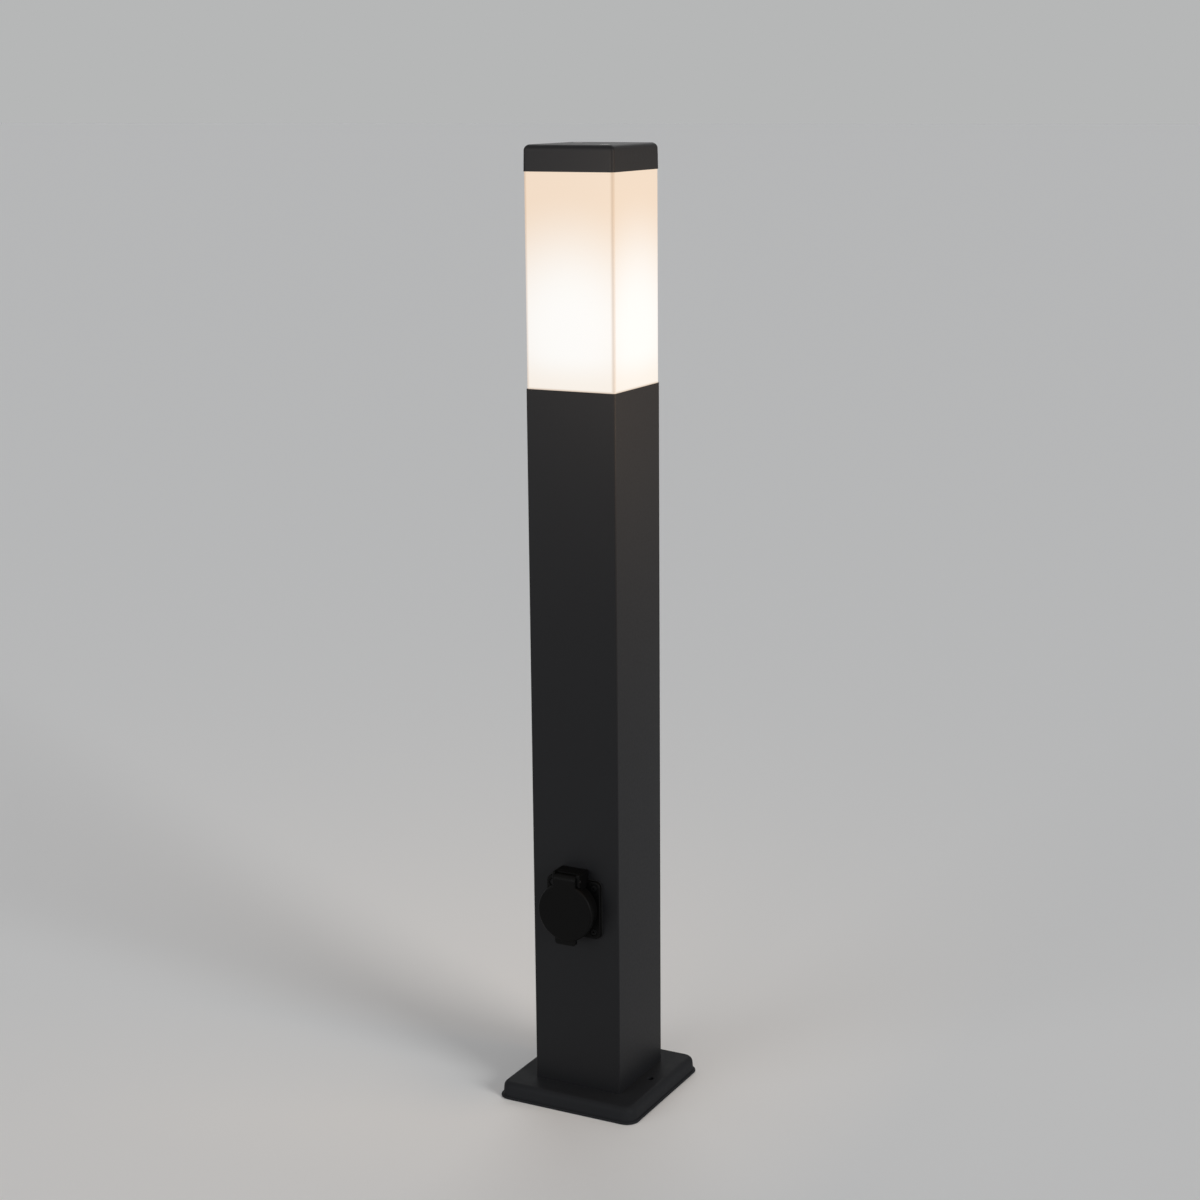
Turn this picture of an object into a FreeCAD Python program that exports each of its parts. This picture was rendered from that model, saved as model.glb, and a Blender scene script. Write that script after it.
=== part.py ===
"""Garden bollard light with a flap-lid socket outlet.

The frame's origin is the centre of the foot's underside, +Z points up the post and the
socket outlet faces -Y. Depths on the socket are measured outwards from the post's face.
"""
import FreeCAD, Part
import Sketcher
import math
import os
import re
from FreeCAD import Vector

doc = FreeCAD.newDocument("BollardLight")
sheet = doc.addObject("Spreadsheet::Sheet", "Sizes")

# A value that starts with = is worked out from sizes above it
SIZES = [
    # Post
    ("post_width", 80.0, "outside width of the square tube"),
    ("post_wall", 2.0, "tube wall"),
    ("post_edge", 1.5, "outside edge radius of the tube"),
    ("post_length", 592.1, "tube length"),
    ("port_inset", 5.4, "screw port centre from the tube's inner faces"),
    ("port_radius", 5.8, "outside radius of a screw port"),
    ("port_screw", 5.0, "thread of the port screws"),
    # Foot
    ("foot_width", 130.0, "foot width across its lip"),
    ("foot_corner", 11.0, "plan corner radius of the lip"),
    ("foot_height", 14.0, "floor to the top of the foot"),
    ("lip_height", 2.4, "height of the lip's slab"),
    ("lip_reach", 1.5, "lip in front of the flank's base"),
    ("lip_round", 1.1, "rounding of the lip"),
    ("foot_draft", 5.0, "draft of the flank in degrees"),
    ("foot_shoulder", 5.0, "rounding between flank and top"),
    ("foot_wall", 3.2, "cast wall of the foot"),
    ("anchor_spacing", 98.0, "anchor hole spacing"),
    ("anchor_hole", 6.0, "anchor hole diameter"),
    ("anchor_boss", 13.0, "anchor boss diameter"),
    ("foot_boss", 15.0, "screw boss diameter"),
    ("foot_bore", 10.4, "counterbore for the screw heads"),
    ("foot_seat", 8.0, "screw head seat above the floor"),
    ("rib_wall", 2.6, "rib thickness in casting"),
    ("rib_lift", 2.0, "rib edge above the floor"),
    ("key_length", 34.0, "length of the keys that centre the tube"),
    ("key_wall", 2.6, "thickness of the keys"),
    ("key_height", 6.0, "height of the keys"),
    ("slide_fit", 0.2, "gap of pieces that slide together"),
    ("screw_fit", 0.03, "gap between a screw and its tapped hole"),
    ("foot_screw_length", 20.0, "under the head"),
    ("foot_head_width", 8.5, "cap screw head diameter"),
    ("foot_head_height", 5.0, "cap screw head height"),
    ("foot_key_width", 4.0, "hexagon key of the foot screws"),
    # Cable entry
    ("entry_hole", 24.0, "cable hole in the foot"),
    ("grommet_flange", 30.0, "grommet flange diameter"),
    ("grommet_rim", 1.8, "thickness of each grommet flange"),
    ("cable_hole", 12.0, "hole in the grommet for the supply cable"),
    # Terminals in the base
    ("bracket_width", 32.0, "bracket width"),
    ("bracket_sheet", 1.5, "bracket sheet"),
    ("bracket_rise", 60.0, "bracket height"),
    ("bracket_gap", 3.4, "gap between the bracket and the tube's inner face"),
    ("bracket_back", "=post_width / 2 - post_wall - bracket_gap", "bracket's rear face behind the axis"),
    ("base_gap", 1.6, "gap between the bracket's foot and the grommet"),
    ("bracket_base", "=bracket_back - grommet_flange / 2 - base_gap", "bracket foot depth"),
    ("bracket_bend", 2.5, "outer bend radius"),
    ("block_width", 31.0, "terminal block width"),
    ("block_height", 22.0, "terminal block height"),
    ("block_depth", 17.0, "terminal block depth"),
    ("block_round", 1.0, "corner radius of the terminal block"),
    ("block_gap", 2.4, "gap between the block's towers"),
    ("block_lift", 32.0, "terminal block above the bracket's base"),
    ("pole_spacing", 10.0, "spacing of the poles"),
    ("pole_bore", 5.6, "clamp diameter"),
    ("wire_bore", 3.4, "wire hole in a clamp"),
    ("block_screw", 3.0, "thread of the block's screws"),
    ("small_screw", 4.0, "thread of bracket and earth screws"),
    ("small_head", 7.4, "pan head diameter of those screws"),
    ("small_head_height", 2.6, "their head height"),
    ("small_length", 9.0, "their length under the head"),
    ("small_boss", 10.0, "boss below them in the foot"),
    ("washer_width", 9.0, "earth washer diameter"),
    ("washer_sheet", 1.0, "earth washer thickness"),
    ("earth_inset", 11.0, "earth screw from the tube's inner face"),
    ("earth_place", "=post_width / 2 - post_wall - earth_inset", "earth screw in front of the axis"),
    # Socket outlet
    ("socket_height", 175.4, "socket axis above the floor"),
    ("flange_width", 50.0, "square flange"),
    ("flange_corner", 5.0, "flange corner radius"),
    ("gasket_sheet", 1.0, "gasket thickness"),
    ("flange_front", 4.3, "flange face above the post's face"),
    ("flange_round", 1.1, "flange edge rounding"),
    ("collar_radius", 22.5, "collar radius"),
    ("collar_front", 14.5, "collar front above the post's face"),
    ("collar_round", 0.6, "rounding of the collar's front edge"),
    ("sleeve_radius", 22.0, "rear sleeve radius"),
    ("sleeve_reach", 28.0, "rear sleeve behind the post's face"),
    ("insert_radius", 20.75, "insert radius"),
    ("insert_fit", 0.1, "gap between insert and housing"),
    ("insert_drop", 0.2, "insert rim behind the collar front"),
    ("rim_radius", 21.6, "radius of the insert's front rim"),
    ("rim_height", 1.6, "thickness of that rim"),
    ("recess_radius", 19.75, "plug recess radius"),
    ("recess_depth", 17.5, "plug recess depth from the collar front"),
    ("recess_floor", 3.0, "thickness of the recess floor"),
    ("pin_spacing", 19.0, "spacing of the plug pins"),
    ("pin_hole", 5.3, "pin holes in the recess floor"),
    ("contact_bore", 4.9, "bore of the pin contacts"),
    ("contact_width", 7.4, "outside of the pin contacts"),
    ("contact_length", 19.0, "length of the pin contacts"),
    ("contact_end", 2.0, "closed rear end of the pin contacts"),
    ("contact_slit", 0.8, "slit in the pin contacts"),
    ("guide_width", 4.6, "width of the two guide ribs"),
    ("guide_reach", 1.4, "guide ribs proud of the recess wall"),
    ("strap_width", 6.0, "earth strap width"),
    ("strap_sheet", 0.8, "earth strap sheet"),
    ("strap_radius", 18.9, "earth strap arm from the socket axis"),
    ("strap_front", 9.0, "arm tip above the post's face"),
    ("strap_hook", 1.1, "inward step of the arm's nose"),
    ("strap_nose", 6.0, "length of the bulge near the arm's tip"),
    ("strap_bend", 0.8, "inside bend radius of the strap"),
    ("cover_depth", 7.5, "rear cover depth"),
    ("cover_wall", 1.8, "rear cover wall"),
    ("cover_screw", 2.5, "thread of the rear cover screws"),
    ("cover_screw_x", 16.0, "rear cover screws beside the axis"),
    ("cover_screw_z", 7.0, "rear cover screws above and below the axis"),
    ("flange_screw_spacing", 38.0, "flange screw pattern"),
    ("flange_screw", 3.5, "flange screw thread"),
    ("flange_head", 6.2, "flange screw head diameter"),
    ("flange_head_height", 1.9, "flange screw head height"),
    ("flange_sink", 2.1, "depth of the screw recesses"),
    ("flange_screw_length", 8.0, "under the head"),
    # Hinge and lid
    ("hinge_height", 27.9, "pin above the socket axis"),
    ("hinge_front", 15.2, "pin above the post's face"),
    ("pin_width", 3.0, "hinge pin diameter"),
    ("pin_half", 12.1, "half length of the hinge pin"),
    ("pin_fit", 0.06, "running gap on the pin"),
    ("block_half", 12.7, "half width of the hinge block"),
    ("hinge_top", 33.8, "top of the hinge block above the socket axis"),
    ("cheek_front", 17.4, "front of the block's cheeks"),
    ("cheek_low", 20.0, "lower end of the cheeks"),
    ("cheek_round", 1.5, "rounding of the block's upper corners"),
    ("cheek_edge", 1.1, "rounding of the block's front edges"),
    ("roof_back", 1.1, "roof's front edge behind the pin's axis"),
    ("knuckle_radius", 4.4, "knuckle radius"),
    ("knuckle_half", 9.9, "half width of knuckle and tongue"),
    ("knuckle_fit", 0.35, "gap around the knuckle"),
    ("lid_radius", 25.0, "lid radius"),
    ("lid_back", 15.0, "rear of the lid above the post's face"),
    ("lid_round", 1.6, "rounding of the lid's rim"),
    ("lid_gap", 1.0, "gap between lid rim and hinge block"),
    ("lid_lift", 0.4, "gap between the lid's rear and the hinge block"),
    ("tab_half", 9.6, "half width of the finger tab"),
    ("tab_drop", 28.3, "lower edge of the tab below the socket axis"),
    ("tab_sheet", 3.0, "finger tab thickness"),
    ("tab_round", 2.6, "corner radius of the finger tab"),
    ("seal_inner", 20.0, "lid seal inner radius"),
    ("seal_outer", 22.4, "lid seal outer radius"),
    ("seal_groove", 1.3, "depth of the seal groove"),
    ("seal_gap", 0.3, "gap between seal and collar"),
    ("spring_wire", 0.8, "spring wire"),
    ("spring_radius", 2.55, "mean radius of the spring"),
    ("spring_turns", 6.5, "turns of the spring"),
    ("spring_pitch", 1.05, "pitch of the spring"),
    ("spring_leg", 6.5, "length of the spring's leg in the lid"),
    ("block_leg", 5.8, "length of the spring's leg in the hinge block"),
    ("spring_room", 3.4, "radius of the room for the spring"),
    ("spring_room_half", 4.4, "half width of that room"),
    # Leads
    ("lead_width", 6.5, "sheathed lead diameter"),
    ("lead_inset", 12.1, "leads in front of the terminal block's rear"),
    ("lead_place", "=bracket_back - bracket_sheet - lead_inset", "leads behind the post's axis"),
    ("socket_lead_x", -8.0, "socket lead beside the axis"),
    ("lead_straight", 3.3, "straight run of the socket lead at the rear cover"),
    ("cover_rear", "=sleeve_reach + cover_depth - cover_wall", "inside of the rear cover behind the face"),
    ("socket_lead_bend", "=post_width / 2 - cover_rear + lead_place - lead_straight", "its bend radius"),
    ("lamp_lead_bend", 60.0, "bend radius of the lamp lead"),
    ("lamp_lead_shift", 75.0, "height in which the lamp lead comes to the middle"),
    # Head
    ("head_sheet", 3.0, "head plate thickness"),
    ("head_drop", 2.5, "head plate top below the tube's end"),
    ("head_gap", 0.3, "gap between head plate and tube"),
    ("head_boss", 8.0, "rod boss diameter"),
    ("head_boss_depth", 6.0, "rod boss below the plate"),
    ("sunk_head", 9.2, "countersunk head diameter of the port screws"),
    ("head_screw_length", 16.0, "length of the head screws"),
    ("rod_step", 7.1, "tie rods inwards of the screw ports along X and Y"),
    ("rod_place", "=post_width / 2 - post_wall - port_inset - rod_step", "tie rods from the axis"),
    ("rod_width", 6.0, "tie rod diameter"),
    ("rod_thread", 5.0, "thread at the rod's lower end"),
    ("rod_bore", 4.0, "thread in the rod's upper end"),
    ("rod_bore_depth", 15.0, "depth of that thread"),
    ("seal_width", 2.4, "width of the diffuser seals"),
    ("seal_sheet", 1.5, "thickness of the diffuser seals"),
    # Lamp holder and lamp
    ("jacket_width", 39.0, "lamp holder jacket diameter"),
    ("jacket_rise", 10.0, "jacket above the head plate"),
    ("jacket_depth", 40.0, "jacket below the head plate"),
    ("jacket_bore", 28.8, "bore of the jacket"),
    ("jacket_mouth", 32.0, "wider bore at the jacket's rim"),
    ("jacket_mouth_depth", 8.5, "depth of that bore"),
    ("jacket_floor", 14.0, "floor of the jacket"),
    ("jacket_round", 2.0, "rounding of the jacket's lower edge"),
    ("shoulder_width", 47.0, "shoulder under the head plate"),
    ("shoulder_sheet", 3.0, "shoulder thickness"),
    ("ring_width", 54.0, "clamping ring diameter"),
    ("ring_height", 6.0, "clamping ring height"),
    ("shell_wall", 0.6, "wall of the brass shell"),
    ("shell_height", 23.0, "height of the brass shell"),
    ("contact_rise", 3.0, "centre contact height"),
    ("lamp_cap_width", 26.2, "lamp cap diameter"),
    ("lamp_cap_height", 23.0, "lamp cap height"),
    ("thread_depth", 1.1, "depth of the rolled thread"),
    ("lamp_tip_height", 2.5, "contact tip and insulator"),
    ("lamp_inset", 10.0, "globe inwards of the post's outside faces"),
    ("lamp_width", "=post_width - 2 * lamp_inset", "lamp globe diameter"),
    ("lamp_length", 106.0, "overall lamp length"),
    ("lamp_neck", 29.0, "lamp body diameter at its cap"),
    ("lamp_body_height", 36.0, "lamp body height"),
    ("globe_wall", 1.6, "globe wall"),
    # Diffuser and cap
    ("diffuser_step", 0.2, "diffuser inwards of the post's outside faces"),
    ("diffuser_width", "=post_width - 2 * diffuser_step", "outside width of the diffuser"),
    ("diffuser_edge", 3.0, "edge radius of the diffuser"),
    ("diffuser_wall", 3.4, "diffuser wall"),
    ("diffuser_length", 171.1, "visible length of the diffuser"),
    ("diffuser_lip", 1.0, "lip at each end"),
    ("cap_overhang", 0.3, "cap's lower edge in front of the post's faces"),
    ("cap_width", "=post_width + 2 * cap_overhang", "cap width at its lower edge"),
    ("cap_edge", 3.2, "vertical edge radius of the cap"),
    ("cap_height", 20.8, "cap height"),
    ("cap_draft", 1.2, "draft of the cap in degrees"),
    ("cap_round", 4.6, "rounding of the cap's top edge"),
    ("cap_wall", 2.4, "cap wall"),
    ("cap_roof", 4.0, "cap roof"),
    ("cap_boss", 10.0, "boss diameter around the cap screws"),
    ("cap_head", 7.9, "cap screw head diameter"),
    ("cap_screw_length", 30.0, "cap screw length"),
]

for row, (name, value, note) in enumerate(SIZES, start=1):
    sheet.set(f"A{row}", name)
    sheet.set(f"B{row}", str(value))
    sheet.setAlias(f"B{row}", name)
    sheet.set(f"C{row}", note)
doc.recompute()

# Places that several pieces share, written with the names above
NAMES = {name: f"Sizes.{name}" for name, value, note in SIZES}
NAMES["post_half"] = "(Sizes.post_width / 2)"
NAMES["post_top"] = "(Sizes.foot_height + Sizes.post_length)"
NAMES["tube_inside"] = "(Sizes.post_width / 2 - Sizes.post_wall)"
NAMES["port_place"] = "(Sizes.post_width / 2 - Sizes.post_wall - Sizes.port_inset)"
NAMES["hinge_level"] = "(Sizes.socket_height + Sizes.hinge_height)"
NAMES["lid_front"] = "(Sizes.hinge_front + Sizes.knuckle_radius)"
NAMES["tapped"] = "(Sizes.port_screw / 2 + Sizes.screw_fit)"
NAMES["plate_top"] = "(Sizes.foot_height + Sizes.post_length - Sizes.head_drop)"
NAMES["plate_under"] = "(Sizes.foot_height + Sizes.post_length - Sizes.head_drop - Sizes.head_sheet)"
NAMES["plate_half"] = "(Sizes.post_width / 2 - Sizes.post_wall - Sizes.head_gap)"
NAMES["block_low"] = "(Sizes.foot_height + Sizes.bracket_sheet + Sizes.block_lift)"
NAMES["block_front"] = "(Sizes.bracket_back - Sizes.bracket_sheet - Sizes.block_depth)"
NAMES["base_middle"] = "(Sizes.bracket_back - Sizes.bracket_base / 2)"
NAMES["jacket_low"] = "(Sizes.foot_height + Sizes.post_length - Sizes.head_drop - Sizes.jacket_depth)"
NAMES["jacket_inside"] = f"({NAMES['jacket_low']} + Sizes.jacket_floor)"
NAMES["lamp_low"] = f"({NAMES['jacket_inside']} + Sizes.contact_rise)"
NAMES["cap_low"] = "(Sizes.foot_height + Sizes.post_length + Sizes.diffuser_length)"
NAMES["lip_half"] = "(Sizes.post_width / 2 - Sizes.post_wall - Sizes.head_gap)"
NAMES["seal_level"] = "(Sizes.foot_height + Sizes.post_length + Sizes.diffuser_length + Sizes.diffuser_lip)"
NAMES["cover_back"] = "(Sizes.sleeve_reach + Sizes.cover_depth)"
NAMES["spring_half"] = "(Sizes.spring_pitch * Sizes.spring_turns / 2)"
NAMES["globe_drop"] = "(Sizes.lamp_length - Sizes.lamp_width / 2 - Sizes.lamp_tip_height" \
                      " - Sizes.lamp_cap_height - Sizes.lamp_body_height)"
NAMES["globe_foot"] = f"sqrt(pow(Sizes.lamp_width / 2; 2) - pow({NAMES['globe_drop']}; 2))"


def written(expression):
    """The expression with each size's name replaced by its cell."""
    return re.sub(r"[a-z][a-z_]*[a-z]", lambda word: NAMES.get(word.group(), word.group()), expression)


def value_of(expression):
    """The number that an expression gives at the present sizes."""
    result = sheet.evalExpression(written(expression))
    return float(getattr(result, "Value", result))


def bind(thing, path, expression):
    """Ties one property of an object to the sheet."""
    thing.setExpression(path, written(expression))


def new_body(label):
    """A body for one piece, or for one set of equal pieces."""
    body = doc.addObject("PartDesign::Body", label)
    body.Label = label
    return body


def new_sketch(body, name, plane, level="0", across="0", along="0"):
    """A sketch on one of the body's own planes, moved to a level along the plane's normal."""
    sketch = body.newObject("Sketcher::SketchObject", f"{body.Name}_{name}")
    face = [item for item in body.Origin.OriginFeatures if item.Role == plane][0]
    sketch.AttachmentSupport = (face, [""])
    sketch.MapMode = "FlatFace"
    for path, expression in (("x", across), ("y", along), ("z", level)):
        if expression != "0":
            bind(sketch, f".AttachmentOffset.Base.{path}", expression)
    return sketch


def pin_point(sketch, geometry, position, x, y):
    """Holds a point of the sketch at named distances from the sketch's origin."""
    for kind, expression in (("DistanceX", x), ("DistanceY", y)):
        if expression == "0":
            axis = -2 if kind == "DistanceX" else -1
            sketch.addConstraint(Sketcher.Constraint("PointOnObject", geometry, position, axis))
            continue
        index = sketch.addConstraint(
            Sketcher.Constraint(kind, -1, 1, geometry, position, value_of(expression)))
        bind(sketch, f"Constraints[{index}]", expression)


def circle(sketch, radius, x="0", y="0"):
    """A circle of a named radius about a named centre."""
    centre = Vector(value_of(x), value_of(y), 0)
    index = sketch.addGeometry(Part.Circle(centre, Vector(0, 0, 1), value_of(radius)), False)
    pin_point(sketch, index, 3, x, y)
    size = sketch.addConstraint(Sketcher.Constraint("Radius", index, value_of(radius)))
    bind(sketch, f"Constraints[{size}]", radius)


def corner_arc(before, corner, after, radius):
    """Tangent points and centre of an arc that rounds a corner, and whether it turns left."""
    back = (before - corner).normalize()
    ahead = (after - corner).normalize()
    half = back.getAngle(ahead) / 2
    reach = radius / math.tan(half)
    middle = (back + ahead).normalize() * (radius / math.sin(half))
    left = (corner - before).cross(after - corner).z > 0
    return corner + back * reach, corner + middle, corner + ahead * reach, left


def outline(sketch, corners):
    """A closed outline through named corners, each sharp or rounded by a named radius."""
    points = [Vector(value_of(corner[0]), value_of(corner[1]), 0) for corner in corners]
    count = len(corners)
    arcs = {}
    starts, ends = list(points), list(points)
    for number, corner in enumerate(corners):
        if len(corner) == 3:
            arc = corner_arc(points[number - 1], points[number], points[(number + 1) % count],
                             value_of(corner[2]))
            ends[number], starts[number] = arc[0], arc[2]
            arcs[number] = arc
    lines = []
    for number in range(count):
        segment = Part.LineSegment(starts[number], ends[(number + 1) % count])
        lines.append(sketch.addGeometry(segment, False))
    for number, corner in enumerate(corners):
        before, after = lines[number - 1], lines[number]
        if number in arcs:
            round_corner(sketch, before, after, arcs[number], points[number], corner)
        else:
            sketch.addConstraint(Sketcher.Constraint("Coincident", before, 2, after, 1))
            pin_point(sketch, after, 1, corner[0], corner[1])


def round_corner(sketch, before, after, arc, point, corner):
    """Joins two lines by an arc, with the sharp corner kept as a construction point."""
    first, centre, last, left = arc
    ring = Part.Circle(centre, Vector(0, 0, 1), value_of(corner[2]))
    begin, finish = (first, last) if left else (last, first)
    angles = [math.atan2(end.y - centre.y, end.x - centre.x) for end in (begin, finish)]
    if angles[1] < angles[0]:
        angles[1] += 2 * math.pi
    bend = sketch.addGeometry(Part.ArcOfCircle(ring, angles[0], angles[1]), False)
    sketch.addConstraint(Sketcher.Constraint("Tangent", before, 2, bend, 1 if left else 2))
    sketch.addConstraint(Sketcher.Constraint("Tangent", after, 1, bend, 2 if left else 1))
    size = sketch.addConstraint(Sketcher.Constraint("Radius", bend, value_of(corner[2])))
    bind(sketch, f"Constraints[{size}]", corner[2])
    mark = sketch.addGeometry(Part.Point(point), True)
    pin_point(sketch, mark, 1, corner[0], corner[1])
    sketch.addConstraint(Sketcher.Constraint("PointOnObject", mark, 1, before))
    sketch.addConstraint(Sketcher.Constraint("PointOnObject", mark, 1, after))


def rectangle(sketch, half_x, half_y, x="0", y="0", radius=None):
    """A rectangle about a named centre, with rounded corners where a radius is given."""
    signs = ((-1, -1), (1, -1), (1, 1), (-1, 1))
    corners = []
    for sign_x, sign_y in signs:
        corner = (f"({x}) + ({half_x}) * {sign_x}", f"({y}) + ({half_y}) * {sign_y}")
        corners.append(corner if radius is None else corner + (radius,))
    outline(sketch, corners)


def pad(sketch, length, both_ways=False, backwards=False, draft=None):
    """Raises a sketch into a solid, with a draft where one is given."""
    body = sketch.getParentGeoFeatureGroup()
    feature = body.newObject("PartDesign::Pad", f"{sketch.Name}_pad")
    feature.Profile = sketch
    bind(feature, "Length", length)
    feature.Midplane = both_ways
    feature.Reversed = backwards
    if draft:
        bind(feature, "TaperAngle", draft)
    doc.recompute()
    return feature


def pocket(sketch, depth, both_ways=False, backwards=False, draft=None):
    """Cuts a sketch into its body, and stops if nothing was cut."""
    body = sketch.getParentGeoFeatureGroup()
    before = body.Shape.Volume
    feature = body.newObject("PartDesign::Pocket", f"{sketch.Name}_pocket")
    feature.Profile = sketch
    bind(feature, "Length", depth)
    feature.Midplane = both_ways
    feature.Reversed = backwards
    if draft:
        bind(feature, "TaperAngle", draft)
    doc.recompute()
    if not feature.Shape.Volume < before:
        raise RuntimeError(f"{feature.Name} cuts nothing")
    return feature


def turned(sketch, axis="V_Axis"):
    """Turns a profile once around one of its sketch's axes."""
    body = sketch.getParentGeoFeatureGroup()
    feature = body.newObject("PartDesign::Revolution", f"{sketch.Name}_turned")
    feature.Profile = sketch
    feature.ReferenceAxis = (sketch, [axis])
    feature.Angle = 360
    doc.recompute()
    return feature


def around(body, originals, count, axis="Z_Axis"):
    """Repeats features evenly around one of the body's axes."""
    feature = body.newObject("PartDesign::PolarPattern", f"{originals[-1].Name}_pattern")
    feature.Originals = originals
    line = [item for item in body.Origin.OriginFeatures if item.Role == axis][0]
    feature.Axis = (line, [""])
    feature.Angle = 360
    feature.Occurrences = count
    body.Tip = feature
    doc.recompute()
    return feature


def edges_where(feature, test):
    """Names of the feature's edges that pass a test of the edge."""
    return [f"Edge{number}" for number, edge in enumerate(feature.Shape.Edges, start=1) if test(edge)]


def same(first, second):
    """Whether two lengths agree closely enough to pick an edge by them."""
    return abs(first - second) < 0.01


def at_level(axis, expression):
    """A test for edges that lie in the plane where one coordinate has a named value."""
    level = value_of(expression)

    def test(edge):
        box = edge.BoundBox
        low, high = getattr(box, f"{axis}Min"), getattr(box, f"{axis}Max")
        return same(low, level) and same(high, level)
    return test


def full_circle(radius):
    """A test for closed round edges of a named radius."""
    length = 2 * math.pi * value_of(radius)
    return lambda edge: edge.isClosed() and same(edge.Length, length)


def dress(feature, kind, tests, size):
    """A fillet or chamfer on the edges that pass all tests."""
    body = feature.getParentGeoFeatureGroup()
    names = edges_where(feature, lambda edge: all(test(edge) for test in tests))
    if not names:
        raise RuntimeError(f"no edge found on {feature.Name}")
    made = body.newObject(f"PartDesign::{kind}", f"{feature.Name}_{kind}")
    made.Base = (feature, names)
    bind(made, "Radius" if kind == "Fillet" else "Size", size)
    doc.recompute()
    return made


def foot_plate():
    """Cast pan with a flared lip, bosses, ribs and four keys that centre the tube."""
    body = new_body("foot_plate")
    lip = new_sketch(body, "lip", "XY_Plane")
    rectangle(lip, "foot_width / 2", "foot_width / 2", radius="foot_corner")
    slab = pad(lip, "lip_height")
    dress(slab, "Fillet", [lambda edge: edge.BoundBox.ZLength < 0.01], "lip_round")
    flank = new_sketch(body, "flank", "XY_Plane", level="lip_height / 2")
    rectangle(flank, "foot_width / 2 - lip_reach", "foot_width / 2 - lip_reach",
              radius="foot_corner - lip_reach / 2")
    raised = pad(flank, "foot_height - lip_height / 2", draft="-foot_draft")
    dress(raised, "Fillet", [at_level("Z", "foot_height")], "foot_shoulder")
    pan = new_sketch(body, "pan", "XY_Plane")
    rectangle(pan, "foot_width / 2 - lip_reach - foot_wall", "foot_width / 2 - lip_reach - foot_wall",
              radius="foot_corner - foot_wall / 2")
    pocket(pan, "foot_height - foot_wall", backwards=True, draft="-foot_draft")
    keys = new_sketch(body, "keys", "XY_Plane", level="foot_height")
    rectangle(keys, "key_length / 2", "key_wall / 2", y="slide_fit + key_wall / 2 - tube_inside")
    key = pad(keys, "key_height")
    around(body, [key], 4)
    anchor = new_sketch(body, "anchor_bosses", "XY_Plane")
    circle(anchor, "anchor_boss / 2", "anchor_spacing / 2")
    circle(anchor, "anchor_boss / 2", "-anchor_spacing / 2")
    pad(anchor, "foot_height - foot_wall / 2")
    bosses = new_sketch(body, "screw_bosses", "XY_Plane")
    for x in ("port_place", "-port_place"):
        for y in ("port_place", "-port_place"):
            circle(bosses, "foot_boss / 2", x, y)
    pad(bosses, "foot_height - foot_wall / 2")
    small = new_sketch(body, "small_bosses", "XY_Plane", level="foot_height - small_length - foot_wall")
    circle(small, "small_boss / 2", "0", "base_middle")
    circle(small, "small_boss / 2", "0", "-earth_place")
    pad(small, "small_length + foot_wall / 2")
    ribs = new_sketch(body, "ribs", "XY_Plane", level="rib_lift")
    rectangle(ribs, "foot_width / 2 - lip_reach - foot_wall", "rib_wall / 2")
    rib = pad(ribs, "foot_height - foot_wall / 2 - rib_lift")
    around(body, [rib], 4)
    room = new_sketch(body, "grommet_room", "XY_Plane")
    circle(room, "grommet_flange / 2 + foot_wall")
    pocket(room, "foot_height - foot_wall", backwards=True)
    entry = new_sketch(body, "entry", "XY_Plane")
    circle(entry, "entry_hole / 2")
    pocket(entry, "foot_height + key_height", backwards=True)
    holes = new_sketch(body, "anchor_holes", "XY_Plane")
    circle(holes, "anchor_hole / 2", "anchor_spacing / 2")
    circle(holes, "anchor_hole / 2", "-anchor_spacing / 2")
    pocket(holes, "foot_height + key_height", backwards=True)
    drillings = (("bores", "foot_bore / 2", "foot_seat"),
                 ("screw_holes", "port_screw / 2 + slide_fit", "foot_height + key_height"))
    for name, radius, depth in drillings:
        drilled = new_sketch(body, name, "XY_Plane")
        for x in ("port_place", "-port_place"):
            for y in ("port_place", "-port_place"):
                circle(drilled, radius, x, y)
        pocket(drilled, depth, backwards=True)
    tapped = new_sketch(body, "tapped_holes", "XY_Plane")
    circle(tapped, "small_screw / 2 + screw_fit", "0", "base_middle")
    circle(tapped, "small_screw / 2 + screw_fit", "0", "-earth_place")
    pocket(tapped, "foot_height + key_height", backwards=True)
    return body


def screw(body, name, axis, place, seat, way, style, sizes):
    """One screw along Z or Y: a turned profile and a hexagon recess. way is the tip's direction."""
    head, height, shank, length, key = sizes
    ahead = f"* {way}"
    tip = [(shank, f"(({length}) - 0.6 * ({shank})) {ahead}"),
           (f"({shank}) * 0.6", f"({length}) {ahead}"), ("0", f"({length}) {ahead}")]
    if style == "sunk":
        rim = f"({height}) * 0.12"
        corners = [("0", "0"), (head, "0"), (head, f"{rim} {ahead}"),
                   (shank, f"({rim} + ({head}) - ({shank})) {ahead}")] + tip
        top = "0"
    else:
        edge = f"({height}) * 0.25"
        corners = [("0", f"-({height}) {ahead}"), (f"({head}) - {edge}", f"-({height}) {ahead}"),
                   (head, f"({edge} - ({height})) {ahead}"), (head, "0"), (shank, "0")] + tip
        top = f"-({height}) {ahead}"
    if axis == "Z":
        turn = new_sketch(body, f"{name}_profile", "XZ_Plane", f"-({place[1]})", place[0], seat)
        face = new_sketch(body, f"{name}_key", "XY_Plane", f"({seat}) + ({top})", place[0], place[1])
    else:
        turn = new_sketch(body, f"{name}_profile", "XY_Plane", place[1], place[0], seat)
        face = new_sketch(body, f"{name}_key", "XZ_Plane", f"-(({seat}) + ({top}))", place[0], place[1])
    outline(turn, corners)
    turned(turn)
    hexagon(face, key)
    inwards = way > 0 if axis == "Z" else way < 0
    pocket(face, f"({height}) * 0.6", backwards=inwards)


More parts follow.
